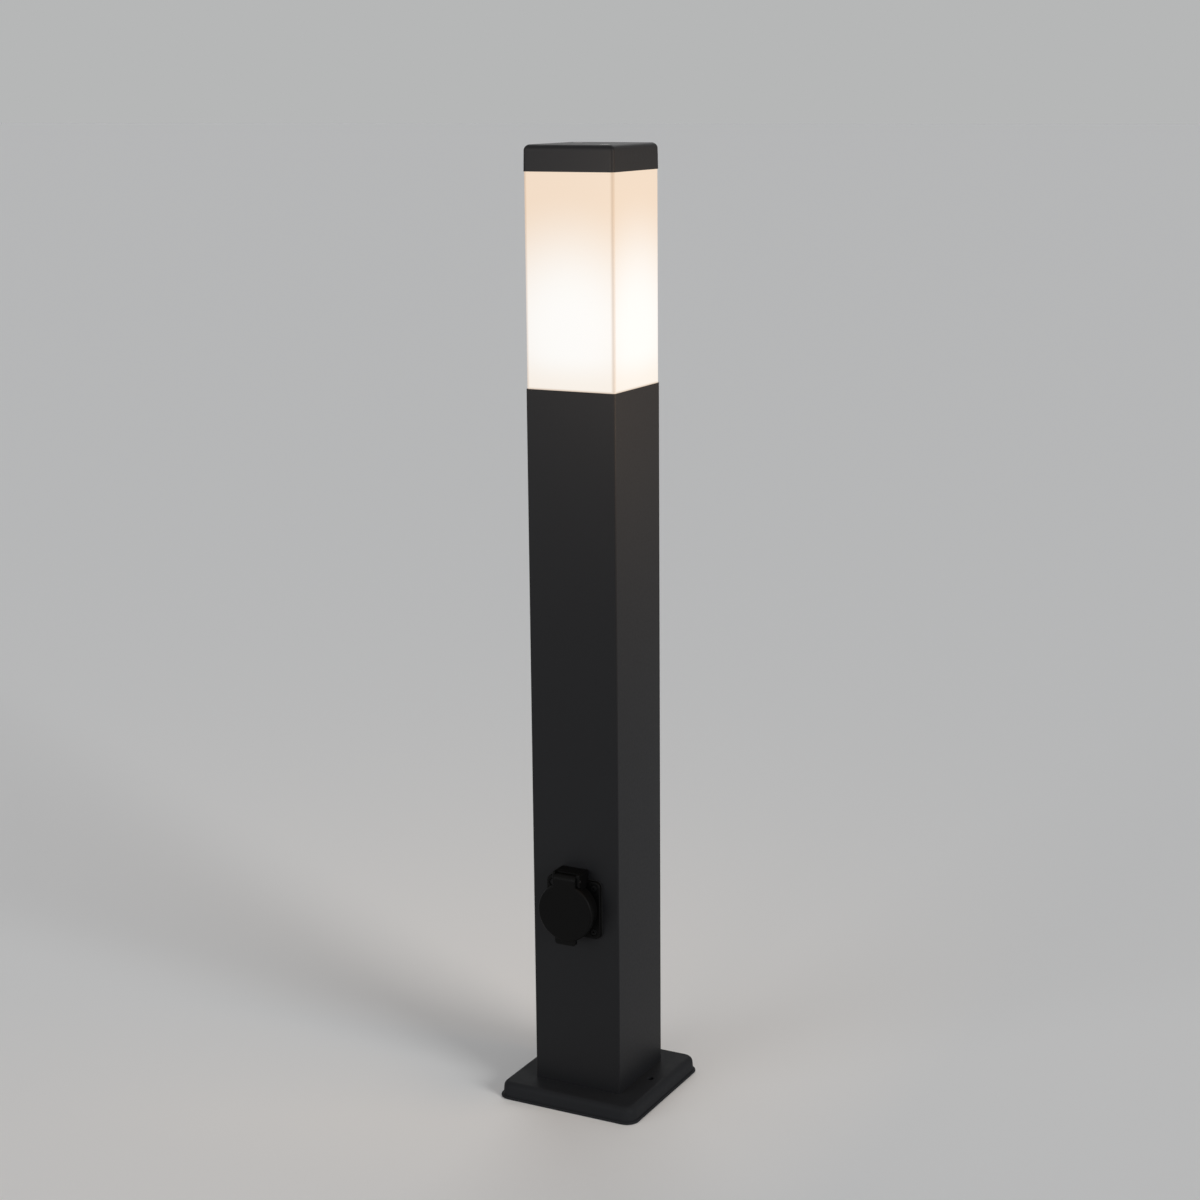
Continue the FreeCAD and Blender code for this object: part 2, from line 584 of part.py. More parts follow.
def screws(label, axis, places, seat, way, style, sizes):
    """Equal screws as separate solids of one piece."""
    body = new_body(label)
    for number, place in enumerate(places, start=1):
        screw(body, f"screw_{number}", axis, place, seat, way, style, sizes)
    return body


def corners_of(x, y=None):
    """The four places at plus and minus two distances."""
    y = y or x
    return [(f"({x})", f"({y})"), (f"-({x})", f"({y})"), (f"-({x})", f"-({y})"), (f"({x})", f"-({y})")]


def hexagon(sketch, width, x="0", y="0"):
    """A hexagon given by its width across flats."""
    corners = []
    for number in range(6):
        turn = math.radians(60 * number)
        reach = f"({width}) / {math.sqrt(3):.6f}"
        corners.append((f"({x}) + {reach} * {math.cos(turn):.6f}",
                        f"({y}) + {reach} * {math.sin(turn):.6f}"))
    outline(sketch, corners)


def cable_grommet():
    """Rubber grommet, a flange on each side of the foot's top wall."""
    body = new_body("cable_grommet")
    turn = new_sketch(body, "profile", "XZ_Plane")
    neck, flange = "entry_hole / 2 - slide_fit / 4", "grommet_flange / 2"
    under = "foot_height - foot_wall"
    outline(turn, [("cable_hole / 2", f"{under} - grommet_rim"), (flange, f"{under} - grommet_rim"),
                   (flange, under), (neck, under), (neck, "foot_height"), (flange, "foot_height"),
                   (f"{flange} - grommet_rim / 2", "foot_height + grommet_rim"),
                   ("cable_hole / 2", "foot_height + grommet_rim")])
    turned(turn)
    return body


def post_tube():
    """Extruded square tube with a screw port in each inner corner and the socket's cut-outs."""
    body = new_body("post_tube")
    outer = new_sketch(body, "outer", "XY_Plane", level="foot_height")
    rectangle(outer, "post_half", "post_half", radius="post_edge")
    pad(outer, "post_length")
    inner = new_sketch(body, "inner", "XY_Plane", level="foot_height")
    rectangle(inner, "tube_inside", "tube_inside")
    pocket(inner, "post_length", backwards=True)
    port = new_sketch(body, "port", "XY_Plane", level="foot_height")
    circle(port, "port_radius", "port_place", "-port_place")
    solid_port = pad(port, "post_length - head_drop - head_sheet")
    web = new_sketch(body, "web", "XY_Plane", level="foot_height")
    outline(web, [("port_place", "-port_place"), ("port_place", "-tube_inside - post_wall / 2"),
                  ("tube_inside + post_wall / 2", "-tube_inside - post_wall / 2"),
                  ("tube_inside + post_wall / 2", "-port_place")])
    solid_web = pad(web, "post_length - head_drop - head_sheet")
    around(body, [solid_port, solid_web], 4)
    bore = new_sketch(body, "bores", "XY_Plane", level="foot_height")
    for x in ("port_place", "-port_place"):
        for y in ("port_place", "-port_place"):
            circle(bore, "tapped", x, y)
    pocket(bore, "post_length", backwards=True)
    hole = new_sketch(body, "socket_hole", "XZ_Plane", level="tube_inside - post_wall",
                      along="socket_height")
    circle(hole, "sleeve_radius + slide_fit")
    for x in ("flange_screw_spacing / 2", "-flange_screw_spacing / 2"):
        for y in ("flange_screw_spacing / 2", "-flange_screw_spacing / 2"):
            circle(hole, "flange_screw / 2 + screw_fit", x, y)
    pocket(hole, "post_wall * 3", backwards=True)
    return body


def terminal_bracket():
    """Bent steel angle that stands on the foot and carries the terminal block."""
    body = new_body("terminal_bracket")
    side = new_sketch(body, "side", "YZ_Plane", along="foot_height")
    outline(side, [("bracket_back - bracket_base", "0"), ("bracket_back", "0", "bracket_bend"),
                   ("bracket_back", "bracket_rise"), ("bracket_back - bracket_sheet", "bracket_rise"),
                   ("bracket_back - bracket_sheet", "bracket_sheet", "bracket_bend - bracket_sheet"),
                   ("bracket_back - bracket_base", "bracket_sheet")])
    pad(side, "bracket_width", both_ways=True)
    foot_hole = new_sketch(body, "foot_hole", "XY_Plane", level="foot_height")
    circle(foot_hole, "small_screw / 2 + slide_fit", "0", "base_middle")
    pocket(foot_hole, "bracket_sheet", backwards=True)
    holes = new_sketch(body, "block_holes", "XZ_Plane", level="-bracket_back",
                       along="block_low + block_height / 2")
    for x in ("pole_spacing / 2", "-pole_spacing / 2"):
        circle(holes, "block_screw / 2 + screw_fit", x)
    pocket(holes, "bracket_sheet", backwards=True)
    return body


def terminal_block():
    """Three pole block with a through channel and a screw tower for each pole."""
    body = new_body("terminal_block")
    base = new_sketch(body, "base", "XY_Plane", level="block_low")
    rectangle(base, "block_width / 2", "block_depth / 2", y="block_front + block_depth / 2",
              radius="block_round")
    pad(base, "block_height")
    gaps = new_sketch(body, "gaps", "XZ_Plane", level="-block_front",
                      along="block_low + block_height / 2")
    for x in ("pole_spacing / 2", "-pole_spacing / 2"):
        rectangle(gaps, "block_gap / 2", "block_height", x)
    pocket(gaps, "block_depth / 3")
    channels = new_sketch(body, "channels", "XY_Plane", level="block_low")
    for x in ("0", "pole_spacing", "-pole_spacing"):
        circle(channels, "pole_bore / 2 + slide_fit", x, "lead_place")
    pocket(channels, "block_height", backwards=True)
    towers = new_sketch(body, "towers", "XZ_Plane", level="-block_front",
                        along="block_low + block_height / 2")
    for x in ("0", "pole_spacing", "-pole_spacing"):
        for z in ("block_height / 4", "-block_height / 4"):
            circle(towers, "wire_bore / 2", x, z)
    pocket(towers, "lead_place - block_front")
    middle = "block_low + block_height / 2"
    fixing = new_sketch(body, "fixing", "XZ_Plane", level="-block_front", along=middle)
    heads = new_sketch(body, "fixing_heads", "XZ_Plane", level="-block_front", along=middle)
    for x in ("pole_spacing / 2", "-pole_spacing / 2"):
        circle(fixing, "block_screw / 2 + slide_fit", x)
        circle(heads, "block_screw * 0.9 + slide_fit", x)
    pocket(fixing, "block_depth")
    pocket(heads, "block_screw * 0.6")
    return body


def terminal_clamps():
    """Brass clamping sleeves, one in each channel of the block."""
    body = new_body("terminal_clamps")
    tubes = new_sketch(body, "tubes", "XY_Plane", level="block_low + block_height / 8")
    for x in ("0", "pole_spacing", "-pole_spacing"):
        circle(tubes, "pole_bore / 2", x, "lead_place")
        circle(tubes, "wire_bore / 2", x, "lead_place")
    pad(tubes, "block_height * 3 / 4")
    return body


def earth_washer():
    """Serrated washer under the earth screw."""
    body = new_body("earth_washer")
    ring = new_sketch(body, "ring", "XY_Plane", level="foot_height", along="-earth_place")
    circle(ring, "washer_width / 2")
    circle(ring, "small_screw / 2 + slide_fit")
    plate = pad(ring, "washer_sheet")
    rim = [at_level("Z", "foot_height + washer_sheet"), full_circle("washer_width / 2")]
    dress(plate, "Chamfer", rim, "washer_sheet / 4")
    return body


def socket_level(depth):
    """The place of a plane at a depth outside the post's front face."""
    return f"post_half + ({depth})"


def socket_sketch(body, name, depth):
    """A sketch square to the socket's axis, with its origin on that axis."""
    return new_sketch(body, name, "XZ_Plane", socket_level(depth), along="socket_height")


def hinge_sketch(body, name):
    """A sketch across the hinge, with its origin on the pin's axis."""
    return new_sketch(body, name, "YZ_Plane", across="-post_half - hinge_front", along="hinge_level")


def socket_gasket():
    """Square sheet gasket between flange and post."""
    body = new_body("socket_gasket")
    ring = socket_sketch(body, "ring", "0")
    rectangle(ring, "flange_width / 2", "flange_width / 2", radius="flange_corner")
    circle(ring, "sleeve_radius + slide_fit")
    for x, z in corners_of("flange_screw_spacing / 2"):
        circle(ring, "flange_screw / 2 + slide_fit", x, z)
    pad(ring, "gasket_sheet")
    return body


def socket_housing():
    """Flange, collar, rear sleeve and the roofed hinge block with its two cheeks."""
    body = new_body("socket_housing")
    flange = socket_sketch(body, "flange", "gasket_sheet")
    rectangle(flange, "flange_width / 2", "flange_width / 2", radius="flange_corner")
    plate = pad(flange, "flange_front - gasket_sheet")
    dress(plate, "Fillet", [at_level("Y", "-post_half - flange_front")], "flange_round")
    collar = socket_sketch(body, "collar", "gasket_sheet")
    circle(collar, "collar_radius")
    tube = pad(collar, "collar_front - gasket_sheet")
    dress(tube, "Fillet", [at_level("Y", "-post_half - collar_front")], "collar_round")
    sleeve = socket_sketch(body, "sleeve", "-sleeve_reach")
    circle(sleeve, "sleeve_radius")
    pad(sleeve, "sleeve_reach + flange_front")
    block = socket_sketch(body, "hinge_block", "gasket_sheet")
    outline(block, [("-block_half", "cheek_low"), ("block_half", "cheek_low"),
                    ("block_half", "hinge_top", "cheek_round"), ("-block_half", "hinge_top", "cheek_round")])
    cheeks = pad(block, "cheek_front - gasket_sheet")
    dress(cheeks, "Fillet", [at_level("Y", "-post_half - cheek_front")], "cheek_edge")
    front = hinge_sketch(body, "tongue_slot")
    slot_low = "hinge_height - cheek_low + lid_gap"
    outline(front, [("roof_back", f"-({slot_low})"), ("roof_back", "hinge_top"),
                    ("-cheek_front", "hinge_top"), ("-cheek_front", f"-({slot_low})")])
    pocket(front, "knuckle_half * 2 + slide_fit * 2", both_ways=True)
    room = hinge_sketch(body, "knuckle_room")
    circle(room, "knuckle_radius + knuckle_fit")
    pocket(room, "knuckle_half * 2 + slide_fit * 2", both_ways=True)
    lid_room = socket_sketch(body, "lid_room", "cheek_front + lid_gap")
    circle(lid_room, "lid_radius + lid_gap")
    pocket(lid_room, "cheek_front + lid_gap - lid_back + lid_lift")
    bore = socket_sketch(body, "bore", "cheek_front")
    circle(bore, "insert_radius + insert_fit")
    pocket(bore, "cheek_front + sleeve_reach")
    seat = socket_sketch(body, "rim_seat", "cheek_front")
    circle(seat, "rim_radius + insert_fit")
    pocket(seat, "cheek_front - collar_front + insert_drop + rim_height")
    heads = socket_sketch(body, "screw_recesses", "flange_front")
    holes = socket_sketch(body, "screw_holes", "flange_front")
    for x, z in corners_of("flange_screw_spacing / 2"):
        circle(heads, "flange_head / 2 + slide_fit", x, z)
        circle(holes, "flange_screw / 2 + slide_fit", x, z)
    pocket(heads, "flange_sink")
    pocket(holes, "flange_front")
    pin = hinge_sketch(body, "pin_hole")
    circle(pin, "pin_width / 2 + screw_fit")
    pocket(pin, "block_half * 2 + slide_fit", both_ways=True)
    leg = new_sketch(body, "leg_hole", "XY_Plane", level="hinge_level", across="-spring_half",
                     along="-post_half - hinge_front + spring_radius")
    circle(leg, "spring_wire / 2 + slide_fit / 2")
    pocket(leg, "block_leg + slide_fit")
    return body


def socket_insert():
    """Plug recess with two pin holes, two guide ribs, and slots for the earth strap."""
    body = new_body("socket_insert")
    core = socket_sketch(body, "core", "strap_sheet - sleeve_reach")
    circle(core, "insert_radius")
    pad(core, "sleeve_reach - strap_sheet + collar_front - insert_drop")
    rim = socket_sketch(body, "rim", "collar_front - insert_drop - rim_height")
    circle(rim, "rim_radius")
    pad(rim, "rim_height")
    recess = socket_sketch(body, "recess", "collar_front - insert_drop")
    circle(recess, "recess_radius")
    pocket(recess, "recess_depth - insert_drop")
    guides = socket_sketch(body, "guides", "collar_front - recess_depth")
    wall = "(insert_radius - recess_radius) / 2"
    for side in ("", "-"):
        rectangle(guides, f"(guide_reach + {wall}) / 2", "guide_width / 2",
                  f"{side}(recess_radius - guide_reach + (guide_reach + {wall}) / 2)")
    pad(guides, "recess_depth * 3 / 4")
    pins = socket_sketch(body, "pin_holes", "collar_front - recess_depth")
    rooms = socket_sketch(body, "contact_rooms", "strap_sheet - sleeve_reach")
    for x in ("pin_spacing / 2", "-pin_spacing / 2"):
        circle(pins, "pin_hole / 2", x)
        circle(rooms, "contact_width / 2 + slide_fit / 2", x)
    pocket(pins, "recess_floor + slide_fit")
    pocket(rooms, "sleeve_reach - strap_sheet + collar_front - recess_depth - recess_floor", backwards=True)
    slots = socket_sketch(body, "strap_slots", "collar_front - recess_depth")
    for z in ("strap_radius", "-strap_radius"):
        rectangle(slots, "strap_width / 2 + slide_fit", "strap_sheet / 2 + slide_fit / 2", "0", z)
    pocket(slots, "recess_depth + sleeve_reach")
    bends = socket_sketch(body, "strap_bends", "strap_sheet - sleeve_reach")
    for side in ("", "-"):
        rectangle(bends, "strap_width / 2 + slide_fit", "strap_bend", "0",
                  f"{side}(strap_radius - strap_bend / 2)")
    pocket(bends, "strap_bend + slide_fit", backwards=True)
    tapped = socket_sketch(body, "cover_holes", "strap_sheet - sleeve_reach")
    for x, z in cover_screw_places():
        circle(tapped, "cover_screw / 2 + screw_fit", x, z)
    pocket(tapped, "sleeve_reach / 2", backwards=True)
    return body


def cover_screw_places():
    """Where the rear cover's two screws sit, about the socket's axis."""
    return [("cover_screw_x", "-cover_screw_z"), ("-cover_screw_x", "cover_screw_z")]


def contact_sleeves():
    """Two slit brass sleeves with a closed rear end, which grip the plug pins."""
    body = new_body("contact_sleeves")
    front = "collar_front - recess_depth - recess_floor"
    rods = socket_sketch(body, "rods", f"{front} - contact_length")
    bores = socket_sketch(body, "bores", front)
    slits = socket_sketch(body, "slits", front)
    for x in ("pin_spacing / 2", "-pin_spacing / 2"):
        circle(rods, "contact_width / 2", x)
        circle(bores, "contact_bore / 2", x)
        rectangle(slits, "contact_slit / 2", "contact_width / 2", x, "contact_width / 2")
    pad(rods, "contact_length")
    pocket(bores, "contact_length - contact_end")
    pocket(slits, "contact_length * 2 / 3")
    return body


def earth_strap():
    """Spring strip bent into a U, with a bulge near each tip that touches the plug."""
    body = new_body("earth_strap")
    side = new_sketch(body, "side", "YZ_Plane", across="-post_half", along="socket_height")
    outer, inner = "(strap_radius + strap_sheet / 2)", "(strap_radius - strap_sheet / 2)"
    nose = [("-strap_front", "0"), ("-strap_front + strap_nose / 2", "strap_hook"),
            ("-strap_front + strap_nose", "0")]
    back, front_back = "sleeve_reach", "(sleeve_reach - strap_sheet)"
    corners = [(back, f"-{outer}", "strap_bend + strap_sheet"), (back, outer, "strap_bend + strap_sheet")]
    corners += [(x, f"{outer} - {step}") for x, step in reversed(nose)]
    corners += [(x, f"{inner} - {step}") for x, step in nose]
    corners += [(front_back, inner, "strap_bend"), (front_back, f"-{inner}", "strap_bend")]
    corners += [(x, f"-{inner} + {step}") for x, step in reversed(nose)]
    corners += [(x, f"-{outer} + {step}") for x, step in nose]
    outline(side, corners)
    pad(side, "strap_width", both_ways=True)
    return body


def socket_rear_cover():
    """Cup that closes the wiring space behind the insert."""
    body = new_body("socket_rear_cover")
    cup = socket_sketch(body, "cup", "-cover_back")
    circle(cup, "sleeve_radius")
    shell = pad(cup, "cover_depth")
    dress(shell, "Fillet", [at_level("Y", "cover_back - post_half")], "cover_wall / 2")
    inside = socket_sketch(body, "inside", "-sleeve_reach")
    circle(inside, "sleeve_radius - cover_wall")
    pocket(inside, "cover_depth - cover_wall")
    posts = socket_sketch(body, "screw_posts", "-cover_back + cover_wall / 2")
    holes = socket_sketch(body, "screw_holes", "-cover_back")
    for x, z in cover_screw_places():
        circle(posts, "cover_screw", x, z)
        circle(holes, "cover_screw / 2 + slide_fit", x, z)
    pad(posts, "cover_depth - cover_wall / 2 + strap_sheet")
    pocket(holes, "cover_depth + strap_sheet", backwards=True)
    lead = socket_sketch(body, "lead_hole", "-cover_back")
    circle(lead, "lead_width / 2 + slide_fit", "socket_lead_x")
    pocket(lead, "cover_wall", backwards=True)
    return body


def socket_lid():
    """Round lid with a finger tab, a tongue and a knuckle that holds the spring."""
    body = new_body("socket_lid")
    disc = socket_sketch(body, "disc", "lid_back")
    circle(disc, "lid_radius")
    plate = pad(disc, "lid_front - lid_back")
    dress(plate, "Fillet", [at_level("Y", "-post_half - lid_front")], "lid_round")
    tab = socket_sketch(body, "tab", "lid_back + lid_round / 2")
    outline(tab, [("-tab_half", "0"), ("-tab_half", "-tab_drop", "tab_round"),
                  ("tab_half", "-tab_drop", "tab_round"), ("tab_half", "0")])
    pad(tab, "tab_sheet")
    tongue = socket_sketch(body, "tongue", "lid_back")
    outline(tongue, [("-knuckle_half", "0"), ("knuckle_half", "0"), ("knuckle_half", "hinge_height"),
                     ("-knuckle_half", "hinge_height")])
    pad(tongue, "lid_front - lid_back")
    knuckle = hinge_sketch(body, "knuckle")
    circle(knuckle, "knuckle_radius")
    pad(knuckle, "knuckle_half * 2", both_ways=True)
    room = hinge_sketch(body, "spring_room")
    circle(room, "spring_room")
    pocket(room, "spring_room_half * 2", both_ways=True)
    mouth = hinge_sketch(body, "spring_mouth")
    outline(mouth, [("0", "-knuckle_radius"), ("knuckle_radius", "-knuckle_radius"),
                    ("knuckle_radius", "knuckle_radius"), ("0", "knuckle_radius")])
    pocket(mouth, "spring_room_half * 2", both_ways=True)
    bore = hinge_sketch(body, "pin_bore")
    circle(bore, "pin_width / 2 + pin_fit")
    pocket(bore, "knuckle_half * 2", both_ways=True)
    leg = new_sketch(body, "leg_hole", "XY_Plane", level="hinge_level", across="spring_half",
                     along="-post_half - hinge_front - spring_radius")
    circle(leg, "spring_wire / 2 + slide_fit / 2")
    pocket(leg, "spring_leg + slide_fit")
    groove = socket_sketch(body, "seal_groove", "lid_back")
    circle(groove, "seal_outer")
    circle(groove, "seal_inner")
    pocket(groove, "seal_groove", backwards=True)
    return body


def lid_seal():
    """Ring seal in the lid's groove, which closes on the collar."""
    body = new_body("lid_seal")
    ring = socket_sketch(body, "ring", "collar_front + seal_gap")
    circle(ring, "seal_outer")
    circle(ring, "seal_inner")
    pad(ring, "lid_back + seal_groove - collar_front - seal_gap")
    return body


def hinge_pin():
    """Plain pin through both cheeks and the lid's knuckle."""
    body = new_body("hinge_pin")
    rod = hinge_sketch(body, "rod")
    circle(rod, "pin_width / 2")
    pad(rod, "pin_half * 2", both_ways=True)
    return body


def lid_spring():
    """Torsion spring on the pin, with one leg caught in the lid and one in the hinge block."""
    body = new_body("lid_spring")
    wire = new_sketch(body, "wire", "XY_Plane", level="hinge_level", across="spring_half",
                      along="-post_half - hinge_front")
    circle(wire, "spring_wire / 2", "0", "-spring_radius")
    coil = body.newObject("PartDesign::AdditiveHelix", "lid_spring_coil")
    coil.Profile = wire
    coil.ReferenceAxis = (wire, ["H_Axis"])
    coil.Mode = "pitch-turns-angle"
    bind(coil, "Pitch", "spring_pitch")
    bind(coil, "Turns", "spring_turns")
    coil.Reversed = True
    doc.recompute()
    for x, y, length in (("spring_half", "-spring_radius", "spring_leg"),
                         ("-spring_half", "spring_radius", "block_leg")):
        leg = new_sketch(body, length, "XY_Plane", level="hinge_level", across=x,
                         along=f"-post_half - hinge_front + ({y})")
        circle(leg, "spring_wire / 2")
        pad(leg, length, backwards=True)
    return body


def lead(label, x, corners):
    """A sheathed lead: a round section along runs and arcs in a plane across X."""
    body = new_body(label)
    path = new_sketch(body, "path", "YZ_Plane", level=x)
    open_path(path, corners)
    section = new_sketch(body, "section", "XY_Plane", level=corners[0][1], across=x, along=corners[0][0])
    circle(section, "lead_width / 2")
    doc.recompute()
    pipe = body.newObject("PartDesign::AdditivePipe", f"{label}_pipe")
    pipe.Profile = section
    pipe.Spine = path
    doc.recompute()
    return body


def open_path(sketch, corners):
    """An open run of lines through named corners, the inner ones rounded by a named radius."""
    points = [Vector(value_of(corner[0]), value_of(corner[1]), 0) for corner in corners]
    last = len(corners) - 1
    arcs = {number: corner_arc(points[number - 1], points[number], points[number + 1],
                               value_of(corners[number][2])) for number in range(1, last)}
    lines = []
    for number in range(last):
        begin = arcs[number][2] if number in arcs else points[number]
        finish = arcs[number + 1][0] if number + 1 in arcs else points[number + 1]
        lines.append(sketch.addGeometry(Part.LineSegment(begin, finish), False))
    pin_point(sketch, lines[0], 1, corners[0][0], corners[0][1])
    pin_point(sketch, lines[-1], 2, corners[last][0], corners[last][1])
    for number in range(1, last):
        round_corner(sketch, lines[number - 1], lines[number], arcs[number], points[number], corners[number])


def head_plate():
    """Plate that lies on the screw ports, closes the tube and carries lamp holder and rods."""
    body = new_body("head_plate")
    plate = new_sketch(body, "plate", "XY_Plane", level="plate_under")
    rectangle(plate, "plate_half", "plate_half", radius="post_edge")
    circle(plate, "jacket_width / 2 + slide_fit / 2")
    pad(plate, "head_sheet")
    bosses = new_sketch(body, "bosses", "XY_Plane", level="plate_under - head_boss_depth")
    for x, y in rod_places():
        circle(bosses, "head_boss / 2", x, y)
    pad(bosses, "head_boss_depth + head_sheet / 2")
    threads = new_sketch(body, "threads", "XY_Plane", level="plate_under - head_boss_depth")
    for x, y in rod_places():
        circle(threads, "rod_thread / 2 + screw_fit", x, y)
    pocket(threads, "head_boss_depth + head_sheet", backwards=True)
    holes = new_sketch(body, "holes", "XY_Plane", level="plate_top")
    for x, y in corners_of("port_place"):
        circle(holes, "port_screw / 2 + slide_fit", x, y)
    drilled = pocket(holes, "head_sheet")
    rims = [at_level("Z", "plate_top"), full_circle("port_screw / 2 + slide_fit")]
    dress(drilled, "Chamfer", rims, "(sunk_head - port_screw) / 2 + slide_fit")
    return body


def rod_places():
    """Where the two tie rods stand, on one diagonal."""
    return [("rod_place", "-rod_place"), ("-rod_place", "rod_place")]


def lamp_holder():
    """Turned jacket with a shoulder under the head plate and a bore for the brass shell."""
    body = new_body("lamp_holder")
    profile = new_sketch(body, "profile", "XZ_Plane")
    jacket, hole = "jacket_width / 2", "lead_width / 2 + slide_fit"
    outline(profile, [(hole, "jacket_low"), (jacket, "jacket_low", "jacket_round"),
                      (jacket, "plate_under - shoulder_sheet"),
                      ("shoulder_width / 2", "plate_under - shoulder_sheet"),
                      ("shoulder_width / 2", "plate_under"), (jacket, "plate_under"),
                      (jacket, "plate_top + jacket_rise"), ("jacket_mouth / 2", "plate_top + jacket_rise"),
                      ("jacket_mouth / 2", "plate_top + jacket_rise - jacket_mouth_depth"),
                      ("jacket_bore / 2", "plate_top + jacket_rise - jacket_mouth_depth"),
                      ("jacket_bore / 2", "jacket_inside"), (hole, "jacket_inside")])
    turned(profile)
    return body


def holder_ring():
    """Ring nut with finger grooves that clamps the holder to the head plate."""
    body = new_body("holder_ring")
    ring = new_sketch(body, "ring", "XY_Plane", level="plate_top")
    circle(ring, "ring_width / 2")
    circle(ring, "jacket_width / 2 + screw_fit")
    pad(ring, "ring_height")
    grip = new_sketch(body, "grip", "XY_Plane", level="plate_top")
    circle(grip, "ring_height / 3", "ring_width / 2 + ring_height / 6")
    groove = pocket(grip, "ring_height", backwards=True)
    around(body, [groove], 12)
    return body


def holder_shell():
    """Drawn brass cup that takes the lamp's screw cap."""
    body = new_body("holder_shell")
    profile = new_sketch(body, "profile", "XZ_Plane", along="jacket_inside")
    outer = "jacket_bore / 2 - slide_fit / 2"
    outline(profile, [(f"{outer} - shell_wall * 3", "0"), (outer, "0", "shell_wall * 1.5"),
                      (outer, "shell_height"), (f"{outer} - shell_wall", "shell_height"),
                      (f"{outer} - shell_wall", "shell_wall", "shell_wall / 2"),
                      (f"{outer} - shell_wall * 3", "shell_wall")])
    turned(profile)
    return body


def holder_contact():
    """Centre contact that stands on the holder's floor."""
    body = new_body("holder_contact")
    profile = new_sketch(body, "profile", "XZ_Plane", along="jacket_inside")
    outline(profile, [("0", "0"), ("lead_width", "0"), ("lead_width", "shell_wall"),
                      ("lead_width * 0.6", "shell_wall"), ("lead_width * 0.5", "contact_rise"),
                      ("0", "contact_rise")])
    turned(profile)
    return body


def lamp_cap():
    """Screw cap of the lamp with its rolled thread and contact tip."""
    body = new_body("lamp_cap")
    profile = new_sketch(body, "profile", "XZ_Plane", along="lamp_low")
    corners = [("0", "0"), ("lamp_cap_width / 5", "0"), ("lamp_cap_width / 2.6", "lamp_tip_height")]
    pitch = "(lamp_cap_height / 7)"
    for turn in range(6):
        corners.append(("lamp_cap_width / 2 - thread_depth", f"lamp_tip_height + {pitch} * {turn + 0.5}"))
        corners.append(("lamp_cap_width / 2", f"lamp_tip_height + {pitch} * {turn + 1}"))
    corners += [("lamp_cap_width / 2", "lamp_tip_height + lamp_cap_height"),
                ("0", "lamp_tip_height + lamp_cap_height")]
    outline(profile, corners)
    turned(profile)
    return body


def lamp_body():
    """Moulded body that widens from the cap to the globe."""
    body = new_body("lamp_body")
    profile = new_sketch(body, "profile", "XZ_Plane", along="lamp_low + lamp_tip_height + lamp_cap_height")
    outline(profile, [("0", "0"), ("lamp_neck / 2", "0"),
                      ("lamp_neck / 2", "lamp_body_height / 5", "lamp_neck * 0.7"),
                      ("globe_foot", "lamp_body_height * 0.8", "lamp_neck / 2"),
                      ("globe_foot", "lamp_body_height"), ("0", "lamp_body_height")])
    turned(profile)
    return body


def lamp_globe():
    """Opal globe: a sphere cut flat where it meets the lamp body."""
    shells = []
    for name, radius in (("outer", "lamp_width / 2"), ("inner", "lamp_width / 2 - globe_wall")):
        ball = doc.addObject("Part::Sphere", f"globe_{name}")
        bind(ball, "Radius", radius)
        bind(ball, "Placement.Base.z", "lamp_low + lamp_length - lamp_width / 2")
        bind(ball, "Angle1", f"-asin(globe_drop / ({radius}))")
        shells.append(ball)
    cut = doc.addObject("Part::Cut", "lamp_globe")
    cut.Label = "lamp_globe"
    cut.Base, cut.Tool = shells
    doc.recompute()
    return cut


def seal_ring(label, level, height):
    """A square seal at one end of the diffuser."""
    body = new_body(label)
    ring = new_sketch(body, "ring", "XY_Plane", level=level)
    rectangle(ring, "lip_half", "lip_half", radius="diffuser_edge")
    rectangle(ring, "lip_half - seal_width", "lip_half - seal_width", radius="diffuser_edge - seal_width / 2")
    pad(ring, height)
    return body


def diffuser():
    """Opal square tube with a thin lip at each end that reaches the seals."""
    body = new_body("diffuser")
    wall = new_sketch(body, "wall", "XY_Plane", level="post_top")
    rectangle(wall, "diffuser_width / 2", "diffuser_width / 2", radius="diffuser_edge")
    pad(wall, "diffuser_length")
    lips = new_sketch(body, "lips", "XY_Plane", level="post_top - diffuser_lip")
    rectangle(lips, "lip_half", "lip_half", radius="diffuser_edge")
    pad(lips, "diffuser_length + diffuser_lip * 2")
    inside = new_sketch(body, "inside", "XY_Plane", level="post_top - diffuser_lip")
    rectangle(inside, "diffuser_width / 2 - diffuser_wall", "diffuser_width / 2 - diffuser_wall",
              radius="diffuser_edge / 2")
    pocket(inside, "diffuser_length + diffuser_lip * 2", backwards=True)
    return body


def tie_rods():
    """Two rods that stand on the head plate and take the cap screws."""
    body = new_body("tie_rods")
    for number, (x, y) in enumerate(rod_places(), start=1):
        profile = new_sketch(body, f"rod_{number}", "XZ_Plane", f"-({y})", x, "plate_top")
        top = "seal_level + seal_sheet - plate_top"
        bore = "rod_bore / 2 + screw_fit"
        foot = "slide_fit - head_sheet - head_boss_depth"
        outline(profile, [("0", foot), ("rod_thread / 2", foot), ("rod_thread / 2", "0"),
                          ("rod_width / 2", "0"), ("rod_width / 2", top), (bore, top),
                          (bore, f"{top} - rod_bore_depth"),
                          ("0", f"{top} - rod_bore_depth - rod_bore / 4")])
        turned(profile)
    return body


